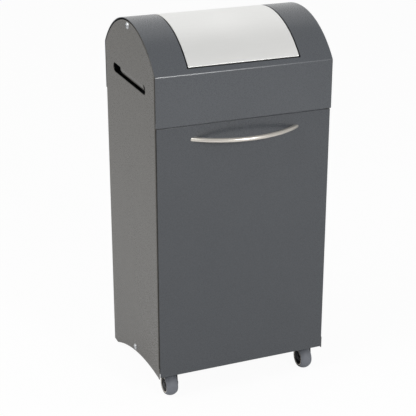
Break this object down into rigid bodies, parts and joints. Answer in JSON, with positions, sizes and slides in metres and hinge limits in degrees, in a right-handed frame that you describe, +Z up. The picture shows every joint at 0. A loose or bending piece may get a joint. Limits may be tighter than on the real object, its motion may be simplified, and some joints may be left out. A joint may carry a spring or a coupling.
{
  "type": "self-extinguishing recycling bin",
  "caption": "Free-standing steel recycling bin with a round hood, self-closing swing flap, drop-front door with bow handle, lift-out liner, grip slots, front castors and rear feet.",
  "frame": {"origin": "on the floor, under the middle of the whole outline with its handle", "axes": "+X to the right in a front view, +Y from the door to the back, +Z up"},
  "size_m": [0.3876, 0.359, 0.79],
  "materials": {
    "side_paint": null,
    "body_paint": "fine-textured powder coat, charcoal",
    "flap_metal": "satin, fine lines across the width",
    "handle_steel": "satin stainless steel",
    "zinc": "bright zinc plate",
    "galvanised": "galvanised sheet with spangle",
    "castor_black": "black coated steel, castors' brackets and axles",
    "bearing_plastic": "moulded",
    "magnet": "plain ferrite",
    "hub_plastic": "moulded",
    "tyre": "grey non-marking rubber"
  },
  "bodies": {
    "housing": {"side_plate_left": "side_paint", "side_plate_right": "side_paint", "hood_shell": "body_paint", "back_panel": "body_paint", "floor_pan": "body_paint", "front_rail": "body_paint", "magnet_catches": "magnet", "top_tie_rod": "zinc", "bottom_tie_rod": "zinc", "tie_rod_screws": "zinc", "rod_collars": "zinc", "hinge_bracket_left": "zinc", "hinge_bracket_right": "zinc", "hinge_pins": "zinc", "liner_guides": "galvanised", "liner": "galvanised", "liner_rim": "galvanised", "bail_ears": "galvanised", "castor_bracket_left": "castor_black", "castor_bracket_right": "castor_black", "castor_screws": "zinc", "castor_axle_left": "castor_black", "castor_axle_right": "castor_black"},
    "flap": {"flap_skin": "flap_metal", "flap_rib_left": "flap_metal", "flap_rib_right": "flap_metal", "flap_bushes": "bearing_plastic"},
    "door": {"door_panel": "body_paint", "door_frame": "body_paint", "door_lower_rail": "body_paint", "door_handle": "handle_steel", "handle_screws": "zinc"},
    "bail": {"liner_bail": "zinc"},
    "wheel_left": {"wheel_hub_left": "hub_plastic", "wheel_tyre_left": "tyre"},
    "wheel_right": {"wheel_hub_right": "hub_plastic", "wheel_tyre_right": "tyre"}
  },
  "joints": [
    {"name": "flap_swing", "type": "hinge", "parent": "housing", "child": "flap", "pos_m": [0, 0.0195, 0.777], "axis": [1, 0, 0], "range_deg": [-70, 70]},
    {"name": "door_hinge", "type": "hinge", "parent": "housing", "child": "door", "pos_m": [0, -0.1305, 0.068], "axis": [1, 0, 0], "range_deg": [0, 90]},
    {"name": "bail_swing", "type": "hinge", "parent": "housing", "child": "bail", "pos_m": [0, 0.0238, 0.555], "axis": [1, 0, 0], "range_deg": [0, 155]},
    {"name": "wheel_left_spin", "type": "hinge", "parent": "housing", "child": "wheel_left", "pos_m": [-0.158, -0.1105, 0.025], "axis": [1, 0, 0], "continuous": true},
    {"name": "wheel_right_spin", "type": "hinge", "parent": "housing", "child": "wheel_right", "pos_m": [0.158, -0.1105, 0.025], "axis": [1, 0, 0], "continuous": true}
  ]
}
